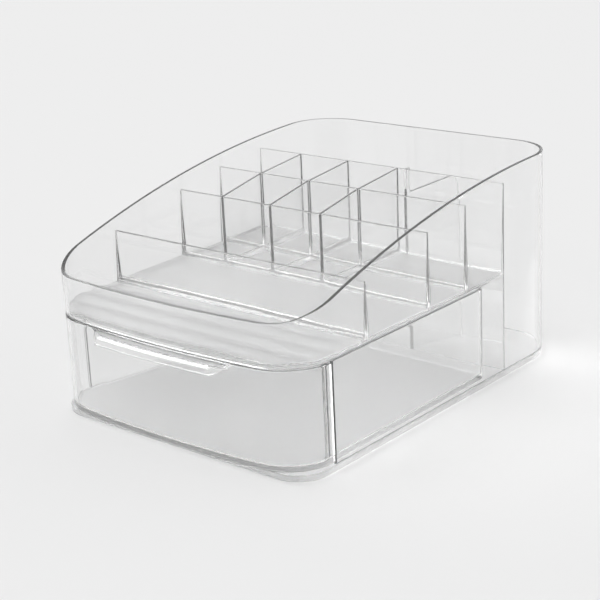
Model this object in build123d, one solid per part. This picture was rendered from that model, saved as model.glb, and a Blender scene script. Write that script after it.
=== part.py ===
"""Clear desktop organizer: stepped divider tray over one bow-fronted pull-out drawer.

Frame: millimetres, +Z up, -Y towards the user, origin at the centre of the bounding
box's bottom face. Every wall of the mouldings is a solid of its own, so each
compartment stays open between them.
"""
from build123d import *
import os

# Overall size
WIDTH = 180.0            # outside, left to right
BODY_DEPTH = 245.2       # outside, front of the bow to the back wall
PULL_REACH = 7.4         # how far the drawer pull stands out in front
WALL = 2.0               # wall of every moulding

# Plan outline: straight sides, bowed front, rounded corners
BOW_RADIUS = 640.0
FRONT_CORNER_R = 29.0
BACK_CORNER_R = 29.0
BASE_SETBACK = 6.7       # of the base plate's straight front edge, behind the bow's crest
BASE_CORNER_R = 18.0     # its front corners

# Heights above the table
BASE_TOP = 3.8
DRAWER_BOTTOM = 4.2
DRAWER_FLOOR = 2.8
DRAWER_TOP = 58.1
LIP_BOTTOM = 59.0
SHELF_BOTTOM = 60.0
SHELF_TOP = 62.5
FRONT_RIM = SHELF_TOP + 19.5
BACK_RIM = SHELF_TOP + 60.1

# Rim of the side walls: one long arc, level just ahead of the back wall
RIM_RADIUS = 645.0
RIM_CREST_AHEAD = 12.0
RIM_BLEND_R = 30.0

# Row walls across the body: middle plane ahead of the outer back face, height over shelf
ROWS = {
    "front": (185.8, 28.9),
    "second": (132.3, 40.6),
    "third": (97.6, 46.9),
    "rear": (60.4, 50.7),
}

# Column dividers between the second, third and rear row walls
COLUMN_PITCH = 36.2
RIGHT_COLUMN_X = 17.4
COLUMNS = {
    "left": RIGHT_COLUMN_X - 2 * COLUMN_PITCH,
    "middle": RIGHT_COLUMN_X - COLUMN_PITCH,
    "right": RIGHT_COLUMN_X,
}

# Fluted front tray
FLUTE_COUNT = 4
FLUTE_DEPTH = 1.4

# Divider in the rear compartment
REAR_DIVIDER_X = 22.5
REAR_DIVIDER_TOP = SHELF_TOP + 36.5
REAR_DIVIDER_GAP = 5.0    # between its far edge and the back wall
REAR_DIVIDER_R = 8.0      # round at the far end of its top edge
UPSTAND_WIDTH = 3.0       # of the taller strip where it meets the rear row wall

# Drawer bay and drawer
SIDE_WALL_FRONT = 214.3   # ahead of the outer back face
DRAWER_BACK = 77.8        # ahead of the outer back face
SEAM = 1.0                # between the drawer front and the side walls
SIDE_PLAY = 0.8           # between the drawer box and each side wall
PULL_ROOT = 56.0          # half width of the pull, to where its ends run into the front wall
PULL_NOSE = 38.2          # half width of its outer edge
PULL_DROP = 3.3           # how far its edge curls down
PULL_WALL = 1.8

# Derived places
BACK_Y = (BODY_DEPTH + PULL_REACH) / 2
FRONT_Y = BACK_Y - BODY_DEPTH
HALF = WIDTH / 2
HALF_IN = HALF - WALL
BACK_IN = BACK_Y - WALL
ROW_Y = {name: BACK_Y - back for name, (back, _) in ROWS.items()}
ROW_TOP = {name: SHELF_TOP + rise for name, (_, rise) in ROWS.items()}
SIDE_FRONT_Y = BACK_Y - SIDE_WALL_FRONT
CORNER_X = HALF - FRONT_CORNER_R
STEP_Y = SIDE_FRONT_Y - SEAM - WALL
BOX_OUT = HALF_IN - SIDE_PLAY
BOX_IN = BOX_OUT - WALL
DRAWER_BACK_Y = BACK_Y - DRAWER_BACK


def block(x0, x1, y0, y1, z0, z1):
    """A box between two corners."""
    centre = Pos((x0 + x1) / 2, (y0 + y1) / 2, (z0 + z1) / 2)
    return centre * Box(x1 - x0, y1 - y0, z1 - z0)


def prism(sketch, z0, z1):
    """A plan sketch raised from z0 to z1."""
    return extrude(Pos(0, 0, z0) * sketch, amount=z1 - z0)


def plan(inset=0.0):
    """The plan outline, moved inwards by inset."""
    middle = Pos(0, (FRONT_Y + BACK_Y) / 2)
    sides = middle * Rectangle(WIDTH - 2 * inset, BODY_DEPTH - 2 * inset)
    bow = Pos(0, FRONT_Y + BOW_RADIUS) * Circle(BOW_RADIUS - inset)
    outline = sides & bow
    outline = fillet(outline.vertices().group_by(Axis.Y)[-1], BACK_CORNER_R - inset)
    front = outline.vertices().filter_by(lambda v: v.Y < FRONT_Y + FRONT_CORNER_R)
    return fillet(front, FRONT_CORNER_R - inset)


def base_outline():
    """The base plate's outline: as the body at the back, straight across the front."""
    front_y = FRONT_Y + BASE_SETBACK
    outline = Pos(0, (front_y + BACK_Y) / 2) * Rectangle(WIDTH, BACK_Y - front_y)
    outline = fillet(outline.vertices().group_by(Axis.Y)[-1], BACK_CORNER_R)
    return fillet(outline.vertices().group_by(Axis.Y)[0], BASE_CORNER_R)


def under_rim():
    """Everything below the rim: level at the front lip, then the long arc to the back."""
    near, far = FRONT_Y - WALL, BACK_Y + WALL
    centre_y = BACK_Y - RIM_CREST_AHEAD
    low = Pos((near + far) / 2, FRONT_RIM / 2) * Rectangle(far - near, FRONT_RIM)
    band = Pos((near + far) / 2, BACK_RIM) * Rectangle(far - near, 2 * (BACK_RIM - FRONT_RIM))
    arc = Pos(centre_y, BACK_RIM - RIM_RADIUS) * Circle(RIM_RADIUS)
    profile = low + (arc & band)
    knee = profile.vertices().filter_by(
        lambda v: abs(v.Y - FRONT_RIM) < 0.01 and near + 1 < v.X < ROW_Y["front"]
    )
    profile = fillet(knee, RIM_BLEND_R)
    return extrude(Plane.YZ * profile, amount=WIDTH, both=True)


def wall_ring(z0, z1):
    """The outer wall all round, between two heights."""
    return prism(plan(), z0, z1) - prism(plan(WALL), z0 - 1, z1 + 1)


def shell_walls():
    """Side walls, back wall with its round corners, and the lip above the drawer."""
    shell = wall_ring(BASE_TOP, BACK_RIM + 1) & under_rim()
    lip = wall_ring(LIP_BOTTOM, BACK_RIM + 1) & under_rim()
    corner_y = BACK_Y - BACK_CORNER_R
    corner_x = HALF - BACK_CORNER_R
    far = WIDTH
    top = BACK_RIM + 2
    parts = {
        "back_wall": shell & block(-corner_x, corner_x, corner_y, far, 0, top),
        "front_lip": lip & block(-CORNER_X, CORNER_X, -far, SIDE_FRONT_Y, 0, top),
    }
    for side, x0, x1 in (("left", -far, 0), ("right", 0, far)):
        parts["side_wall_" + side] = shell & block(x0, x1, SIDE_FRONT_Y, corner_y, 0, top)
        edge = -corner_x if side == "left" else corner_x
        outer = (-far, edge) if side == "left" else (edge, far)
        parts["back_corner_" + side] = shell & block(*outer, corner_y, far, 0, top)
        edge = -CORNER_X if side == "left" else CORNER_X
        outer = (-far, edge) if side == "left" else (edge, far)
        parts["lip_corner_" + side] = lip & block(*outer, -far, SIDE_FRONT_Y, 0, top)
    return parts


def fluted_tray():
    """Front tray floor, scooped into shallow flutes that run left to right."""
    rear = ROW_Y["front"] - WALL / 2
    start = FRONT_Y + WALL
    pitch = (rear - start) / FLUTE_COUNT
    radius = (pitch**2 / 4 + FLUTE_DEPTH**2) / (2 * FLUTE_DEPTH)
    inside = prism(plan(WALL), LIP_BOTTOM, SHELF_TOP)
    floor = inside & block(-HALF, HALF, FRONT_Y, rear, LIP_BOTTOM, SHELF_TOP)
    for index in range(FLUTE_COUNT):
        y = start + (index + 0.5) * pitch
        scoop = Cylinder(radius, WIDTH, rotation=(0, 90, 0))
        floor -= Pos(0, y, SHELF_TOP - FLUTE_DEPTH + radius) * scoop
    return floor


def stepped_tray():
    """Shelf plate, the four row walls and the column dividers between three of them."""
    front, rear = ROW_Y["front"] - WALL / 2, ROW_Y["rear"] - WALL / 2
    parts = {
        "fluted_tray": fluted_tray(),
        "shelf_plate": block(-HALF_IN, HALF_IN, front, rear, SHELF_BOTTOM, SHELF_TOP),
    }
    for name, y in ROW_Y.items():
        foot = BASE_TOP if name == "rear" else SHELF_TOP
        parts["row_wall_" + name] = block(
            -HALF_IN, HALF_IN, y - WALL / 2, y + WALL / 2, foot, ROW_TOP[name]
        )
    for row, (near, far) in {"front": ("second", "third"), "rear": ("third", "rear")}.items():
        y0, y1 = ROW_Y[near] + WALL / 2, ROW_Y[far] - WALL / 2
        outline = Polygon(
            (y0, SHELF_TOP), (y1, SHELF_TOP), (y1, ROW_TOP[far]), (y0, ROW_TOP[near]), align=None
        )
        for column, x in COLUMNS.items():
            plate = extrude(Plane.YZ * outline, amount=WALL / 2, both=True)
            parts["divider_" + column + "_" + row] = Pos(x, 0, 0) * plate
    return parts


def rear_divider():
    """The divider behind the rear row wall, with its taller strip against that wall."""
    near, far = ROW_Y["rear"] + WALL / 2, BACK_IN - REAR_DIVIDER_GAP
    x0, x1 = REAR_DIVIDER_X - WALL / 2, REAR_DIVIDER_X + WALL / 2
    plate = block(x0, x1, near, far, BASE_TOP, REAR_DIVIDER_TOP)
    far_edges = plate.edges().filter_by(Axis.X).group_by(Axis.Y)[-1]
    plate = fillet(far_edges.sort_by(Axis.Z)[-1], REAR_DIVIDER_R)
    upstand = block(x0, x1, near, near + UPSTAND_WIDTH, BASE_TOP, ROW_TOP["rear"])
    return {"rear_divider": plate + upstand}


def drawer_box():
    """Drawer floor, bowed front with round corners, sides and back."""
    ring = wall_ring(DRAWER_BOTTOM, DRAWER_TOP)
    far = WIDTH
    high = DRAWER_TOP + 1
    floor_top = DRAWER_BOTTOM + DRAWER_FLOOR
    nose = prism(plan(WALL), DRAWER_BOTTOM, floor_top)
    nose &= block(-HALF, HALF, -far, STEP_Y, 0, high)
    back_in = DRAWER_BACK_Y - WALL
    parts = {
        "drawer_floor": nose + block(-BOX_IN, BOX_IN, STEP_Y, back_in, DRAWER_BOTTOM, floor_top),
        "drawer_front": ring & block(-CORNER_X, CORNER_X, -far, STEP_Y, 0, high),
        "drawer_back": block(-BOX_IN, BOX_IN, back_in, DRAWER_BACK_Y, DRAWER_BOTTOM, DRAWER_TOP),
    }
    for side, sign in (("left", -1), ("right", 1)):
        outer = sorted((sign * CORNER_X, sign * far))
        corner = ring & block(*outer, -far, STEP_Y, 0, high)
        edge = sorted((sign * BOX_OUT, sign * HALF))
        corner += block(*edge, STEP_Y, STEP_Y + WALL, DRAWER_BOTTOM, DRAWER_TOP)
        parts["drawer_corner_" + side] = corner
        plate = sorted((sign * BOX_IN, sign * BOX_OUT))
        parts["drawer_side_" + side] = block(
            *plate, STEP_Y, DRAWER_BACK_Y, DRAWER_BOTTOM, DRAWER_TOP
        )
    return parts


def pull_outline(inset=0.0):
    """Plan of the pull: a bowed nose with S-curved ends running back to the drawer front."""
    run = PULL_ROOT - PULL_NOSE
    nose_y = FRONT_Y - PULL_REACH
    nose_end_y = nose_y + PULL_NOSE**2 / (2 * BOW_RADIUS)
    root_y = FRONT_Y + 2 * WALL
    rise = root_y - nose_end_y
    bend = (run**2 + rise**2) / (4 * rise)
    middle = (PULL_ROOT - run / 2, nose_end_y + rise / 2)
    inner_y = FRONT_Y + 3 * WALL
    half = (
        RadiusArc((0, nose_y), (PULL_NOSE, nose_end_y), -BOW_RADIUS)
        + RadiusArc((PULL_NOSE, nose_end_y), middle, -bend)
        + RadiusArc(middle, (PULL_ROOT, root_y), bend)
        + Polyline((PULL_ROOT, root_y), (PULL_ROOT, inner_y), (0, inner_y), (0, nose_y))
    )
    side = make_face(half)
    whole = side + mirror(side, Plane.YZ)
    return offset(whole, -inset) if inset else whole


def drawer_pull():
    """The pull: a ledge level with the drawer's top edge and a skirt curled down from it.

    The skirt's lower edge rises along the S-curved ends, up to the ledge at the root.
    """
    ledge_z = DRAWER_TOP - PULL_WALL
    foot_z = ledge_z - PULL_DROP
    body = prism(plan(), 0, BACK_RIM)
    ledge = prism(pull_outline(), ledge_z, DRAWER_TOP) - body
    skirt = prism(pull_outline(), foot_z, ledge_z)
    skirt -= prism(pull_outline(PULL_WALL), 0, BACK_RIM)
    rise = Polygon(
        (-PULL_ROOT, ledge_z), (-PULL_NOSE, foot_z), (PULL_NOSE, foot_z), (PULL_ROOT, ledge_z),
        align=None,
    )
    skirt &= extrude(Plane.XZ * rise, amount=BODY_DEPTH, both=True)
    skirt -= body
    return {"pull_ledge": ledge, "pull_skirt": skirt}


def all_parts():
    """Every node of the organizer by name."""
    parts = {"base_plate": prism(base_outline(), 0, BASE_TOP)}
    parts.update(shell_walls())
    parts.update(stepped_tray())
    parts.update(rear_divider())
    parts.update(drawer_box())
    parts.update(drawer_pull())
    return parts


os.makedirs("parts", exist_ok=True)
for node_name, shape in all_parts().items():
    export_step(shape, "parts/" + node_name + ".step")
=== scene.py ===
"""Clear plastic desktop organizer with a pull-out drawer: looks, floor, light and camera.

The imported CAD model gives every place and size. Each real moulding is one closed clear
mesh here, so that no seam shows inside it, and it stands for the CAD walls it is made of.
"""
import math

import bmesh
import bpy
from mathutils import Matrix, Vector


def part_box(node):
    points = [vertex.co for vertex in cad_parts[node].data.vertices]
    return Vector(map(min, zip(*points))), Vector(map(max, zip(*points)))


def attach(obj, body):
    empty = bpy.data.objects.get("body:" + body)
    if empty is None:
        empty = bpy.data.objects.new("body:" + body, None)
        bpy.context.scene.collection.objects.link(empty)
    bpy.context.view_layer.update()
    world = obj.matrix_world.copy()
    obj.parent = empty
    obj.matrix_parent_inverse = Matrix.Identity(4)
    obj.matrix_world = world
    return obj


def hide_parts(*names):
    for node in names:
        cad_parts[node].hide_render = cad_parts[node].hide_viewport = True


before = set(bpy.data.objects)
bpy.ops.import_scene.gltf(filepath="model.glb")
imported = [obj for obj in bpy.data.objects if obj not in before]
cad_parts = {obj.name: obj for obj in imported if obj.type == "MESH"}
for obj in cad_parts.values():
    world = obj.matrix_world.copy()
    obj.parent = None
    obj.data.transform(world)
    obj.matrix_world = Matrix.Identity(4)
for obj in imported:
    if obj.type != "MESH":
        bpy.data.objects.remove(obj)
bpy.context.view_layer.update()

MM = 0.001

# Shape values that the node boxes can't give, in metres
BOW_RADIUS = 640 * MM
FRONT_CORNER_R = 29 * MM
BACK_CORNER_R = 29 * MM
RIM_RADIUS = 645 * MM
RIM_CREST_AHEAD = 12 * MM
RIM_BLEND = 1.0 * MM
WALL = 2 * MM
AIR = 0.15 * MM          # hairline gap between two mouldings that touch
ARC_STEP = math.radians(7.5)

# Roundings
RIM_ROUND = 0.35 * MM
CAP_MARGIN = 0.4 * MM    # flat ring that keeps the shading of a wide flat face level
TRAY_FOOT_R = 3.0 * MM
TRAY_CORNER_SHARE = 0.2
TRAY_RIM_SHARE = 0.1
DRAFT = 0.006            # each face of a tray wall leans in by this much per unit height

BASE_CORNER_R = 18 * MM  # front corners of the base plate
PULL_NOSE = 38.2 * MM    # half width of the pull's outer edge
PULL_ROOT = 50.5 * MM    # half width where its S-curved ends meet the drawer front
PULL_SHOULDER_R = 4 * MM
REAR_DIVIDER_TOP = 99 * MM
REAR_DIVIDER_R = 8 * MM
UPSTAND = 3 * MM         # taller strip of the rear divider, against the rear row wall

# Light
TENT_BRIGHT = 0.66
TENT_SIDE = 0.60
TENT_DIM = 0.25
KEY_STRENGTH = 1.7
KEY_ANGLE = 34
KEY_FROM = (-0.62, -0.20, 0.76)

# Camera, angles in degrees
CAMERA_AZIMUTH = 40.744
CAMERA_ELEVATION = 18.591
CAMERA_ROLL = -2.752
CAMERA_DISTANCE = 810.9 * MM
CAMERA_AIM_RIGHT = 35.1 * MM   # aim point, from the front row wall's foot, across the view
CAMERA_AIM_UP = 3.1 * MM
CAMERA_LENS = 91.04

# Node boxes
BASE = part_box("base_plate")
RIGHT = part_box("side_wall_right")
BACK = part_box("back_wall")
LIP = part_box("front_lip")
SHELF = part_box("shelf_plate")
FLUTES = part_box("fluted_tray")
ROWS = [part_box("row_wall_" + name) for name in ("front", "second", "third", "rear")]
COLUMNS = [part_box("divider_" + name + "_rear") for name in ("left", "middle", "right")]
DRAWER_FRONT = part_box("drawer_front")
DRAWER_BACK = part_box("drawer_back")
DRAWER_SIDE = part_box("drawer_side_right")
DRAWER_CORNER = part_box("drawer_corner_right")
DRAWER_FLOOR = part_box("drawer_floor")
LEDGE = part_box("pull_ledge")
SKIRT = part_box("pull_skirt")
REAR_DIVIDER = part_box("rear_divider")

HALF = BASE[1].x
FRONT_Y = LIP[0].y
BACK_Y = BASE[1].y
SIDE_FRONT_Y = RIGHT[0].y
LIP_BOTTOM = LIP[0].z
FRONT_RIM = LIP[1].z
BACK_RIM = BACK[1].z
SHELF_TOP = SHELF[1].z
FLUTE_COUNT = 4
FLUTE_DEPTH = 0.8 * MM
FLUTE_SHEET = 2.0 * MM   # thickness of the fluted part


# ---------------------------------------------------------------- plan outlines

def arc(centre, radius, start, end, steps=None):
    """Points on an arc with the outward normals there; start and end in radians."""
    steps = steps or max(2, round(abs(end - start) / ARC_STEP))
    out = []
    for i in range(steps + 1):
        angle = start + (end - start) * i / steps
        normal = Vector((math.cos(angle), math.sin(angle)))
        out.append((Vector(centre) + normal * radius, normal))
    return out


def corner_middle():
    """Centre of the right front corner's arc, and the angle where it meets the bow."""
    bow_y = FRONT_Y + BOW_RADIUS
    corner_x = HALF - FRONT_CORNER_R
    corner_y = bow_y - math.sqrt((BOW_RADIUS - FRONT_CORNER_R) ** 2 - corner_x ** 2)
    return Vector((corner_x, corner_y)), math.atan2(corner_y - bow_y, corner_x)


def front_stations(edge_y):
    """The bowed front and its two corners, from left to right, ahead of edge_y."""
    middle, turn = corner_middle()
    start = -math.asin((middle.y - edge_y) / FRONT_CORNER_R)
    left = arc((-middle.x, middle.y), FRONT_CORNER_R, -math.pi - start, -math.pi - turn)
    right = arc(middle, FRONT_CORNER_R, turn, start)
    bow = arc((0, FRONT_Y + BOW_RADIUS), BOW_RADIUS, -math.pi - turn, turn, 16)
    return left + bow[1:-1] + right


def side_stations(x, y0, y1, count):
    """Evenly spaced stations along a straight side."""
    normal = Vector((math.copysign(1, x), 0))
    return [(Vector((x, y0 + (y1 - y0) * i / count)), normal) for i in range(count + 1)]


def body_stations():
    """The whole plan outline, anticlockwise from the left side wall's front edge."""
    front_y = corner_middle()[0].y
    corner_y = BACK_Y - BACK_CORNER_R
    corner_x = HALF - BACK_CORNER_R
    quarter = math.pi / 2
    return (
        front_stations(SIDE_FRONT_Y)
        + side_stations(HALF, front_y, corner_y, 22)
        + arc((corner_x, corner_y), BACK_CORNER_R, 0, quarter)[1:]
        + arc((-corner_x, corner_y), BACK_CORNER_R, quarter, 2 * quarter)
        + side_stations(-HALF, corner_y, front_y, 22)[1:]
    )


def inward(points):
    """For each point of a closed outline, the step that moves its edges inwards by one unit."""
    out = []
    for i, point in enumerate(points):
        before = (point - points[i - 1]).normalized()
        after = (points[(i + 1) % len(points)] - point).normalized()
        n0 = Vector((before.y, -before.x))
        n1 = Vector((after.y, -after.x))
        out.append((n0 + n1) * (-1 / (1 + n0.dot(n1))))
    return out


def rim_height(y):
    """Height of the body's rim at a distance along the body."""
    arc_z = BACK_RIM - RIM_RADIUS + math.sqrt(RIM_RADIUS ** 2 - (y - BACK_Y + RIM_CREST_AHEAD) ** 2)
    gap = arc_z - FRONT_RIM
    return FRONT_RIM + (gap + math.hypot(gap, RIM_BLEND)) / 2 - RIM_BLEND ** 2 / 8


# ---------------------------------------------------------------- mesh building

def new_object(name, bm, material):
    """A shown object from a bmesh."""
    bmesh.ops.remove_doubles(bm, verts=bm.verts, dist=1e-6)
    bmesh.ops.recalc_face_normals(bm, faces=bm.faces)
    mesh = bpy.data.meshes.new(name)
    bm.to_mesh(mesh)
    bm.free()
    mesh.materials.append(material)
    obj = bpy.data.objects.new(name, mesh)
    bpy.context.scene.collection.objects.link(obj)
    return obj


def use_modifiers(obj):
    """Applies every modifier of an object to its mesh."""
    graph = bpy.context.evaluated_depsgraph_get()
    graph.update()
    mesh = bpy.data.meshes.new_from_object(obj.evaluated_get(graph), depsgraph=graph)
    obj.modifiers.clear()
    obj.data = mesh
    return obj


def round_edges(obj, width, segments=3, weighted=False):
    """Rounds the sharp edges."""
    bevel = obj.modifiers.new("round", "BEVEL")
    bevel.width = width
    bevel.segments = segments
    bevel.limit_method = "WEIGHT" if weighted else "ANGLE"
    bevel.angle_limit = math.radians(40)
    bevel.use_clamp_overlap = False
    return use_modifiers(obj)


def smooth(obj):
    """Smooth shading in which the broad faces stay flat."""
    for polygon in obj.data.polygons:
        polygon.use_smooth = True
    weigh = obj.modifiers.new("normals", "WEIGHTED_NORMAL")
    weigh.weight = 100
    weigh.keep_sharp = True
    return use_modifiers(obj)


def ring_faces(bm, lower, upper):
    """Quads between two closed rings of the same length."""
    count = len(lower)
    for i in range(count):
        j = (i + 1) % count
        bm.faces.new((lower[i], lower[j], upper[j], upper[i]))


def lofted(name, outline, profile, material):
    """A closed solid: rings of the outline, at the (inset, height) steps that profile gives
    for each point of the outline."""
    bm = bmesh.new()
    columns = []
    for point, step in zip(outline, inward(outline)):
        column = []
        for amount, z in profile(point):
            place = point + step * amount
            column.append(bm.verts.new((place.x, place.y, z)))
        columns.append(column)
    rings = list(zip(*columns))
    for lower, upper in zip(rings, rings[1:]):
        ring_faces(bm, lower, upper)
    bm.faces.new(list(reversed(rings[0])))
    bm.faces.new(rings[-1])
    return new_object(name, bm, material)


def quarter_turn(centre_inset, centre_z, radius, start, end, steps=5):
    """Profile points round part of a circle; angles in degrees, 0 towards the inside."""
    out = []
    for i in range(steps + 1):
        angle = math.radians(start + (end - start) * i / steps)
        out.append((centre_inset + radius * math.cos(angle), centre_z + radius * math.sin(angle)))
    return out


# ---------------------------------------------------------------- materials

def clear_plastic(name, haze, wave, matt, density, shade=0.9, scuffing=0.05):
    """Clear moulded plastic: faint haze, slight flow waves and hairline scuffs, with lamps
    shining through it. density is how grey it gets in its depth, shade what a shadow keeps."""
    mat = bpy.data.materials.new(name)
    mat.use_nodes = True
    nodes, links = mat.node_tree.nodes, mat.node_tree.links
    nodes.clear()
    out = nodes.new("ShaderNodeOutputMaterial")
    glass = nodes.new("ShaderNodeBsdfPrincipled")
    glass.inputs["Base Color"].default_value = (0.985, 0.986, 0.986, 1)
    glass.inputs["Transmission Weight"].default_value = 1 - haze
    glass.inputs["IOR"].default_value = 1.5
    coords = nodes.new("ShaderNodeTexCoord")
    # flow waves of the moulding
    flow = nodes.new("ShaderNodeTexNoise")
    flow.inputs["Scale"].default_value = 28
    flow.inputs["Detail"].default_value = 1.5
    links.new(coords.outputs["Object"], flow.inputs["Vector"])
    bump = nodes.new("ShaderNodeBump")
    bump.inputs["Strength"].default_value = wave
    bump.inputs["Distance"].default_value = 0.0006
    links.new(flow.outputs["Fac"], bump.inputs["Height"])
    links.new(bump.outputs["Normal"], glass.inputs["Normal"])
    # handling scuffs, as patches of slightly duller surface
    scuff = nodes.new("ShaderNodeTexNoise")
    scuff.inputs["Scale"].default_value = 90
    scuff.inputs["Detail"].default_value = 6
    links.new(coords.outputs["Object"], scuff.inputs["Vector"])
    spread = nodes.new("ShaderNodeMapRange")
    spread.inputs["From Min"].default_value = 0.45
    spread.inputs["From Max"].default_value = 0.75
    spread.inputs["To Min"].default_value = 0
    spread.inputs["To Max"].default_value = scuffing
    links.new(scuff.outputs["Fac"], spread.inputs["Value"])
    # level faces came off a fine matt tool, upright ones off a polished one
    shape = nodes.new("ShaderNodeNewGeometry")
    parts = nodes.new("ShaderNodeSeparateXYZ")
    links.new(shape.outputs["Normal"], parts.inputs["Vector"])
    level = nodes.new("ShaderNodeMath")
    level.operation = "ABSOLUTE"
    links.new(parts.outputs["Z"], level.inputs[0])
    tooled = nodes.new("ShaderNodeMapRange")
    tooled.inputs["From Min"].default_value = 0.93
    tooled.inputs["From Max"].default_value = 0.99
    tooled.inputs["To Max"].default_value = matt
    links.new(level.outputs["Value"], tooled.inputs["Value"])
    total = nodes.new("ShaderNodeMath")
    total.operation = "ADD"
    links.new(spread.outputs["Result"], total.inputs[0])
    links.new(tooled.outputs["Result"], total.inputs[1])
    links.new(total.outputs["Value"], glass.inputs["Roughness"])
    # light from the lamps passes straight through
    clear = nodes.new("ShaderNodeBsdfTransparent")
    clear.inputs["Color"].default_value = (shade, shade, shade, 1)
    path = nodes.new("ShaderNodeLightPath")
    mix = nodes.new("ShaderNodeMixShader")
    links.new(path.outputs["Is Shadow Ray"], mix.inputs["Fac"])
    links.new(glass.outputs["BSDF"], mix.inputs[1])
    links.new(clear.outputs["BSDF"], mix.inputs[2])
    links.new(mix.outputs["Shader"], out.inputs["Surface"])
    volume = nodes.new("ShaderNodeVolumeAbsorption")
    volume.inputs["Color"].default_value = (0.58, 0.58, 0.58, 1)
    volume.inputs["Density"].default_value = density
    links.new(volume.outputs["Volume"], out.inputs["Volume"])
    return mat


SHELL_CLEAR = clear_plastic("clear_shell", haze=0.02, wave=0.05, matt=0.3, density=6)
TRAY_CLEAR = clear_plastic("clear_tray", haze=0.05, wave=0.10, matt=0.35, density=5)
BASE_CLEAR = clear_plastic("clear_base", haze=0.12, wave=0.08, matt=0.35, density=1,
                           shade=0.8)
DRAWER_CLEAR = clear_plastic("clear_drawer", haze=0.03, wave=0.08, matt=0.3, density=10)


# ---------------------------------------------------------------- shell

def thick_sheet(name, outer, inner, present, material):
    """A wall from two point grids, stations by rows. present says which cells exist; the
    last column of cells joins the first station again."""
    bm = bmesh.new()
    count, rows = len(outer), len(outer[0])
    out_v = [[None] * rows for _ in range(count)]
    in_v = [[None] * rows for _ in range(count)]

    def vert(table, points, k, r):
        if table[k][r] is None:
            table[k][r] = bm.verts.new(points[k][r])
        return table[k][r]

    def both(k, r):
        return vert(out_v, outer, k, r), vert(in_v, inner, k, r)

    for k in range(count):
        k1 = (k + 1) % count
        for r in range(rows - 1):
            if not present(k, r):
                continue
            a, b = both(k, r)
            c, d = both(k1, r)
            e, f = both(k1, r + 1)
            g, h = both(k, r + 1)
            bm.faces.new((a, c, e, g))
            bm.faces.new((h, f, d, b))
            if r == 0 or not present(k, r - 1):
                bm.faces.new((b, d, c, a))
            if r == rows - 2 or not present(k, r + 1):
                bm.faces.new((g, e, f, h))
            if not present((k - 1) % count, r):
                bm.faces.new((a, g, h, b))
            if not present(k1, r):
                bm.faces.new((d, f, e, c))
    return new_object(name, bm, material)


def make_shell():
    """Side walls, round back corners, back wall and the lip above the drawer, in one."""
    stations = body_stations()
    foot = BASE[1].z + AIR
    outer, inner, front = [], [], []
    for point, normal in stations:
        rim = rim_height(point.y)
        heights = (foot, (foot + LIP_BOTTOM) / 2, LIP_BOTTOM, (LIP_BOTTOM + rim) / 2, rim)
        within = point - normal * WALL
        outer.append([(point.x, point.y, z) for z in heights])
        inner.append([(within.x, within.y, z) for z in heights])
        front.append(point.y < SIDE_FRONT_Y + 1e-6)

    def present(k, r):
        bay = front[k] and front[(k + 1) % len(front)]
        return r >= 2 or not bay

    shell = thick_sheet("shell", outer, inner, present, SHELL_CLEAR)
    return smooth(round_edges(shell, RIM_ROUND))


# ---------------------------------------------------------------- tray

def flute_height(y):
    """Surface of the fluted tray: scoops side by side, ridges level with the shelf."""
    rear, front = FLUTES[1].y, FLUTES[0].y
    pitch = (rear - front) / FLUTE_COUNT
    along = ((y - front) / pitch) % 1.0
    return SHELF_TOP - FLUTE_DEPTH * (1 - math.cos(2 * math.pi * along)) / 2


def tray_half_width(y):
    """Half width of the tray inside the lip at a distance along the body."""
    full = HALF - WALL - AIR
    inner_r = FRONT_CORNER_R - WALL - AIR
    middle, _ = corner_middle()
    if y >= middle.y:
        return full
    bow_r = BOW_RADIUS - WALL - AIR
    bow = math.sqrt(max(bow_r ** 2 - (FRONT_Y + BOW_RADIUS - y) ** 2, 0))
    drop = inner_r ** 2 - (middle.y - y) ** 2
    if drop <= 0:
        return bow
    return middle.x + math.sqrt(drop)


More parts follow.
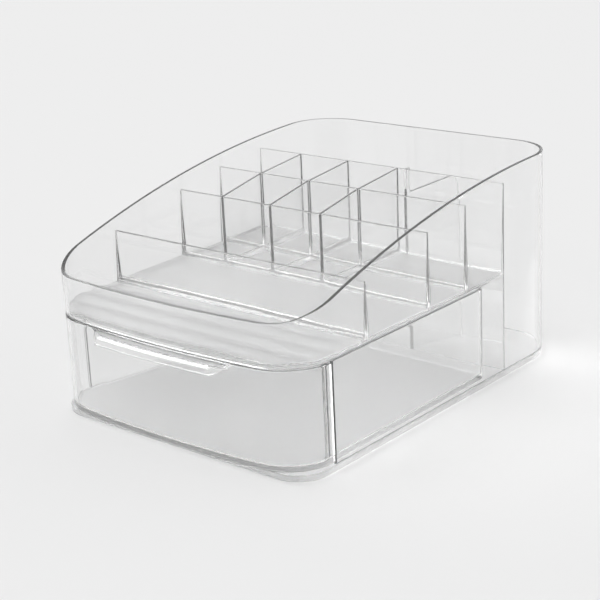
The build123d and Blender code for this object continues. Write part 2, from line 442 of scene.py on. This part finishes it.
class TrayGrid:
    """The tray as columns of material over a grid of plan cells, each with a floor and a top."""

    def __init__(self, xs, ys):
        self.xs, self.ys = xs, ys
        self.bottom, self.top = {}, {}
        self.levels = {}
        self.verts = {}
        self.bm = bmesh.new()

    def fill(self, i, j, bottom, top):
        """bottom and top are functions of y, so that a divider's top can slope."""
        self.bottom[i, j] = bottom
        self.top[i, j] = top

    def span(self, cell, corner):
        """(bottom, top) of a cell at one of its corners, or None outside the tray."""
        if cell not in self.top:
            return None
        y = self.ys[corner[1]]
        return round(self.bottom[cell](y), 9), round(self.top[cell](y), 9)

    def gather(self):
        for i in range(len(self.xs)):
            for j in range(len(self.ys)):
                levels = set()
                for cell in ((i, j), (i - 1, j), (i, j - 1), (i - 1, j - 1)):
                    levels.update(self.span(cell, (i, j)) or ())
                self.levels[i, j] = sorted(levels)

    def vert(self, corner, z, place):
        key = (*corner, z)
        if key not in self.verts:
            self.verts[key] = self.bm.verts.new(place(*corner, z))
        return self.verts[key]

    def edge_line(self, corner, low, high):
        return [z for z in self.levels[corner] if low - 1e-9 <= z <= high + 1e-9]

    def upright(self, c0, c1, span0, span1, place):
        """A vertical face between two corners, with every level on its two sides."""
        if span0[1] - span0[0] < 1e-8 and span1[1] - span1[0] < 1e-8:
            return
        up = [self.vert(c0, z, place) for z in self.edge_line(c0, *span0)]
        down = [self.vert(c1, z, place) for z in reversed(self.edge_line(c1, *span1))]
        face = []
        for vert in up + down:
            if vert not in face:
                face.append(vert)
        if len(face) > 2:
            self.bm.faces.new(face)

    def build(self, place):
        self.gather()
        for (i, j) in self.top:
            corners = ((i, j), (i + 1, j), (i + 1, j + 1), (i, j + 1))
            spans = [self.span((i, j), c) for c in corners]
            self.bm.faces.new([self.vert(c, s[1], place) for c, s in zip(corners, spans)])
            self.bm.faces.new(
                [self.vert(c, s[0], place) for c, s in reversed(list(zip(corners, spans)))]
            )
            beside = ((i, j - 1), (i + 1, j), (i, j + 1), (i - 1, j))
            for n, other in enumerate(beside):
                c0, c1 = corners[n], corners[(n + 1) % 4]
                own0, own1 = spans[n], spans[(n + 1) % 4]
                next0, next1 = self.span(other, c0), self.span(other, c1)
                if next0 is None:
                    self.upright(c0, c1, own0, own1, place)
                    continue
                if max(own0[1] - next0[1], own1[1] - next1[1]) > 1e-8:
                    self.upright(c0, c1, (next0[1], own0[1]), (next1[1], own1[1]), place)
                if max(next0[0] - own0[0], next1[0] - own1[0]) > 1e-8:
                    self.upright(c0, c1, (own0[0], next0[0]), (own1[0], next1[0]), place)
        return self.bm


def weigh_tray_edges(obj):
    """Large fillets at the feet, smaller ones in upright corners, small rounds on the rims."""
    bm = bmesh.new()
    bm.from_mesh(obj.data)
    weight = bm.edges.layers.float.new("bevel_weight_edge")
    for edge in bm.edges:
        if len(edge.link_faces) != 2 or edge.calc_face_angle(0) < math.radians(40):
            continue
        low = min(v.co.z for v in edge.verts)
        high = max(v.co.z for v in edge.verts)
        upright = high - low > edge.calc_length() * 0.9
        hollow = edge.calc_face_angle_signed(0) < 0
        if hollow and not upright and low > SHELF_TOP - FLUTE_DEPTH - 1e-5:
            edge[weight] = 1.0
        elif hollow and upright:
            edge[weight] = TRAY_CORNER_SHARE
        elif not hollow and high > SHELF_TOP + 5 * MM:
            edge[weight] = TRAY_RIM_SHARE
    bm.to_mesh(obj.data)
    bm.free()


def rear_divider_top(y):
    """Top edge of the rear divider: level, with a round far corner."""
    centre_y = REAR_DIVIDER[1].y - REAR_DIVIDER_R
    past = max(y - centre_y, 0)
    return REAR_DIVIDER_TOP - REAR_DIVIDER_R + math.sqrt(max(REAR_DIVIDER_R ** 2 - past ** 2, 0))


def make_tray():
    """Fluted front tray, shelf, row walls and dividers, in one moulding."""
    full = HALF - WALL - AIR
    xs = [-full]
    for low, high in COLUMNS + [REAR_DIVIDER]:
        xs += [low.x, high.x]
    xs.append(full)
    column_cells = [2 * n + 1 for n in range(len(COLUMNS))]
    rear_cell = 2 * len(COLUMNS) + 1
    flute_steps = FLUTE_COUNT * 8
    front_y = FLUTES[0].y + AIR
    ys = [front_y + (FLUTES[1].y - front_y) * n / flute_steps for n in range(flute_steps - 1)]
    first_row = len(ys)
    for low, high in ROWS:
        ys += [low.y, high.y]
    after_rows = len(ys)
    ys.append(ys[-1] + UPSTAND)
    far = REAR_DIVIDER[1].y
    ys += [far - REAR_DIVIDER_R * math.cos(math.pi / 12 * n) for n in range(7)]
    grid = TrayGrid(xs, ys)
    row_tops = [high.z for _, high in ROWS]
    base_top = BASE[1].z + AIR

    def level(z):
        return lambda y: z

    def flute_foot(y):
        return flute_height(y) - FLUTE_SHEET

    def slope(n):
        y0, y1 = ROWS[n][1].y, ROWS[n + 1][0].y
        z0, z1 = row_tops[n], row_tops[n + 1]
        return lambda y: z0 + (z1 - z0) * (y - y0) / (y1 - y0)

    for i in range(len(xs) - 1):
        for j in range(after_rows - 1):
            behind = j - first_row
            if behind < 0:
                grid.fill(i, j, flute_foot, flute_height)
            elif behind % 2 == 0:
                bottom = base_top if j == after_rows - 2 else SHELF[0].z
                grid.fill(i, j, level(bottom), level(row_tops[behind // 2]))
            elif i in column_cells and behind // 2 > 0:
                grid.fill(i, j, level(SHELF[0].z), slope(behind // 2))
            else:
                grid.fill(i, j, level(SHELF[0].z), level(SHELF_TOP))
    grid.fill(rear_cell, after_rows - 1, level(base_top), level(row_tops[-1]))
    for j in range(after_rows, len(ys) - 1):
        grid.fill(rear_cell, j, level(base_top), rear_divider_top)

    def place(i, j, z):
        x, y = xs[i], ys[j]
        x *= tray_half_width(y) / full
        lean = max(z - SHELF_TOP, 0) * DRAFT
        if 0 < i < len(xs) - 1 and j > first_row + 1:
            x += lean if i % 2 == 1 else -lean
        if first_row <= j < after_rows:
            y += lean if (j - first_row) % 2 == 0 else -lean
        return x, y, z

    tray = new_object("divider_tray", grid.build(place), TRAY_CLEAR)
    weigh_tray_edges(tray)
    round_edges(tray, TRAY_FOOT_R, 4, weighted=True)
    return smooth(tray)


# ---------------------------------------------------------------- drawer

def bow_stations():
    """Points along the drawer's bowed front, close together where the pull's ends curve."""
    middle, turn = corner_middle()
    edge = middle.x + FRONT_CORNER_R * math.cos(turn)
    spans = ((0, PULL_NOSE, 8), (PULL_NOSE, PULL_ROOT, 14), (PULL_ROOT, edge, 3))
    half = [0.0]
    for x0, x1, count in spans:
        half += [x0 + (x1 - x0) * n / count for n in range(1, count + 1)]
    xs = [-x for x in reversed(half[1:])] + half
    return [Vector((x, FRONT_Y + BOW_RADIUS - math.sqrt(BOW_RADIUS ** 2 - x ** 2))) for x in xs]


def drawer_outline():
    """The drawer's plan: the bowed front with its corners, a step in, then the box."""
    step_y = DRAWER_CORNER[1].y
    box_x = DRAWER_SIDE[1].x
    corner_r = 5 * MM
    back_y = DRAWER_BACK[1].y
    quarter = math.pi / 2
    middle, turn = corner_middle()
    start = -math.asin((middle.y - step_y) / FRONT_CORNER_R)
    right = [p for p, _ in arc(middle, FRONT_CORNER_R, turn, start)]
    del right[-2]   # too near the step for the floor's inset outline
    points = [Vector((-p.x, p.y)) for p in reversed(right)]
    points += bow_stations()[1:-1] + right
    points.append(Vector((box_x, step_y)))
    points += [p for p, _ in arc((box_x - corner_r, back_y - corner_r), corner_r, 0, quarter)]
    points += [
        p for p, _ in arc((corner_r - box_x, back_y - corner_r), corner_r, quarter, 2 * quarter)
    ]
    points.append(Vector((-box_x, step_y)))
    return points


def pull_share(point):
    """How far the pull stands out at a point of the front, as a share of its full reach."""
    if point.y > 0 or abs(point.x) > PULL_ROOT - 1e-6:
        return 0.0
    along = max(abs(point.x) - PULL_NOSE, 0) / (PULL_ROOT - PULL_NOSE)
    return (1 + math.cos(math.pi * along)) / 2


def pull_profile(share, crown):
    """Section of the pull, from its root's underside round its edge to its top."""
    thick = LEDGE[1].z - LEDGE[0].z
    reach = (FRONT_Y - LEDGE[0].y) * share
    drop = (SKIRT[1].z - SKIRT[0].z) * share
    skin = min(thick, reach)
    outer_r = min(PULL_SHOULDER_R, reach, drop + skin / 2)
    inner_r = max(outer_r - skin, 0)
    gap = reach - skin
    foot = crown - thick - drop
    inner_top = crown - thick if gap > 0.05 * MM else foot
    inner_foot = min(foot + skin / 2, inner_top)
    centre = reach - outer_r
    points = [(0, inner_top)]
    points += [(-out, min(z, inner_top)) for out, z in
               quarter_turn(centre, crown - outer_r, inner_r, 90, 0)]
    points[1:] = [(out if gap > 0.05 * MM else 0, z) for out, z in points[1:]]
    points.append((-max(gap, 0), inner_foot))
    points += [(-out, z) for out, z in quarter_turn(reach - skin / 2, foot + skin / 2,
                                                    skin / 2, -135, 0, 4)]
    points += [(-out, z) for out, z in quarter_turn(centre, crown - outer_r, outer_r, 0, 90, 6)]
    points.append((0, crown))
    return points


def make_drawer():
    """Open box with a rolled lower edge, and the pull along the front's top edge."""
    low, floor, top = DRAWER_FLOOR[0].z, DRAWER_FLOOR[1].z, DRAWER_FRONT[1].z
    roll = 2.3 * MM
    inner_r = 1.8 * MM
    rim = 0.6 * MM
    below = [(roll + CAP_MARGIN, low)] + quarter_turn(roll, low + roll, roll, 270, 180)
    above = quarter_turn(rim, top - rim, rim, 180, 90, 3)
    above += quarter_turn(WALL - rim, top - rim, rim, 90, 0, 3)
    above += quarter_turn(WALL + inner_r, floor + inner_r, inner_r, 180, 270, 4)
    above.append((WALL + inner_r + CAP_MARGIN, floor))

    def profile(point):
        return below + pull_profile(pull_share(point), top - rim) + above

    return smooth(lofted("drawer_moulding", drawer_outline(), profile, DRAWER_CLEAR))


# ---------------------------------------------------------------- base

def make_base():
    """The flat base with rounded edges: straight across the front, as the body at the back."""
    low, high = BASE[0].z, BASE[1].z
    edge = 1.2 * MM
    profile = [(edge + CAP_MARGIN, low)] + quarter_turn(edge, low + edge, edge, 270, 180, 4)
    profile += quarter_turn(edge / 2, high - edge / 2, edge / 2, 180, 90, 4)
    profile.append((edge + CAP_MARGIN, high))
    quarter = math.pi / 2
    outline = []
    for radius, y, sign, turn in (
        (BASE_CORNER_R, BASE[0].y + BASE_CORNER_R, -1, 2),
        (BASE_CORNER_R, BASE[0].y + BASE_CORNER_R, 1, 3),
        (BACK_CORNER_R, BASE[1].y - BACK_CORNER_R, 1, 4),
        (BACK_CORNER_R, BASE[1].y - BACK_CORNER_R, -1, 5),
    ):
        centre = (sign * (HALF - radius), y)
        outline += [p for p, _ in arc(centre, radius, turn * quarter, (turn + 1) * quarter)]
    return smooth(lofted("base_moulding", outline, lambda point: profile, BASE_CLEAR))


# ---------------------------------------------------------------- pieces

HOUSING_NODES = {
    "shell": ["side_wall_left", "side_wall_right", "back_wall", "back_corner_left",
              "back_corner_right", "front_lip", "lip_corner_left", "lip_corner_right"],
    "tray": ["fluted_tray", "shelf_plate", "rear_divider"]
            + ["row_wall_" + n for n in ("front", "second", "third", "rear")]
            + ["divider_" + c + "_" + r for c in ("left", "middle", "right")
               for r in ("front", "rear")],
    "base": ["base_plate"],
}
DRAWER_NODES = ["drawer_floor", "drawer_front", "drawer_corner_left", "drawer_corner_right",
                "drawer_side_left", "drawer_side_right", "drawer_back", "pull_ledge", "pull_skirt"]

for piece, body, nodes, slot in (
    (make_shell(), "housing", HOUSING_NODES["shell"], "clear_shell"),
    (make_tray(), "housing", HOUSING_NODES["tray"], "clear_tray"),
    (make_base(), "housing", HOUSING_NODES["base"], "clear_base"),
    (make_drawer(), "drawer", DRAWER_NODES, "clear_drawer"),
):
    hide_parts(*nodes)
    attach(piece, body)


# ---------------------------------------------------------------- floor, light, camera

def make_floor():
    """A plain pale floor, wide enough to fill every view."""
    bm = bmesh.new()
    bmesh.ops.create_circle(bm, cap_ends=True, radius=30, segments=96)
    mat = bpy.data.materials.new("pale_floor")
    mat.use_nodes = True
    shader = mat.node_tree.nodes["Principled BSDF"]
    shader.inputs["Base Color"].default_value = (0.82, 0.82, 0.82, 1)
    shader.inputs["Roughness"].default_value = 0.9
    shader.inputs["Specular IOR Level"].default_value = 0.1
    floor = new_object("floor", bm, mat)
    floor.location.z = -0.3 * MM


def make_world():
    """A white light tent: bright all round, dimmer on the viewer's side of the room."""
    world = bpy.data.worlds.new("studio")
    bpy.context.scene.world = world
    world.use_nodes = True
    nodes, links = world.node_tree.nodes, world.node_tree.links
    coords = nodes.new("ShaderNodeTexCoord")
    toward = nodes.new("ShaderNodeVectorMath")
    toward.operation = "DOT_PRODUCT"
    azimuth = math.radians(CAMERA_AZIMUTH)
    toward.inputs[1].default_value = (math.sin(azimuth), -math.cos(azimuth), 0)
    links.new(coords.outputs["Generated"], toward.inputs[0])
    ramp = nodes.new("ShaderNodeValToRGB")
    links.new(toward.outputs["Value"], ramp.inputs["Fac"])
    stops = ramp.color_ramp.elements
    stops[0].position, stops[0].color = 0.0, (*[TENT_BRIGHT] * 3, 1)
    stops[1].position, stops[1].color = 1.0, (*[TENT_DIM] * 3, 1)
    side = stops.new(0.75)
    side.color = (*[TENT_SIDE] * 3, 1)
    links.new(ramp.outputs["Color"], nodes["Background"].inputs["Color"])
    nodes["Background"].inputs["Strength"].default_value = 1


def make_key():
    """Large soft light from the upper left: it draws the bright lines along the tray's feet."""
    data = bpy.data.lights.new("key", "SUN")
    data.energy = KEY_STRENGTH
    data.angle = math.radians(KEY_ANGLE)
    lamp = bpy.data.objects.new("key", data)
    bpy.context.scene.collection.objects.link(lamp)
    lamp.rotation_euler = Vector(KEY_FROM).to_track_quat("Z", "Y").to_euler()


def make_camera():
    """A long lens from the front right, aimed around the foot of the front row wall."""
    azimuth, elevation = math.radians(CAMERA_AZIMUTH), math.radians(CAMERA_ELEVATION)
    roll = math.radians(CAMERA_ROLL)
    back = Vector((math.sin(azimuth) * math.cos(elevation),
                   -math.cos(azimuth) * math.cos(elevation), math.sin(elevation)))
    level = Vector((math.cos(azimuth), math.sin(azimuth), 0))
    upward = back.cross(level)
    right = level * math.cos(roll) + upward * math.sin(roll)
    up = upward * math.cos(roll) - level * math.sin(roll)
    foot = Vector((0, (ROWS[0][0].y + ROWS[0][1].y) / 2, SHELF_TOP))
    aim = foot + right * CAMERA_AIM_RIGHT + up * CAMERA_AIM_UP
    data = bpy.data.cameras.new("camera")
    data.lens = CAMERA_LENS
    data.sensor_width = 36
    camera = bpy.data.objects.new("camera", data)
    bpy.context.scene.collection.objects.link(camera)
    turn = Matrix((right, up, back)).transposed().to_4x4()
    camera.matrix_world = Matrix.Translation(aim + back * CAMERA_DISTANCE) @ turn
    bpy.context.scene.camera = camera


make_floor()
make_world()
make_key()
make_camera()

scene = bpy.context.scene
scene.view_settings.view_transform = "Standard"
scene.cycles.max_bounces = 32
scene.cycles.transmission_bounces = 32
scene.cycles.glossy_bounces = 6
scene.cycles.diffuse_bounces = 3
scene.cycles.transparent_max_bounces = 48
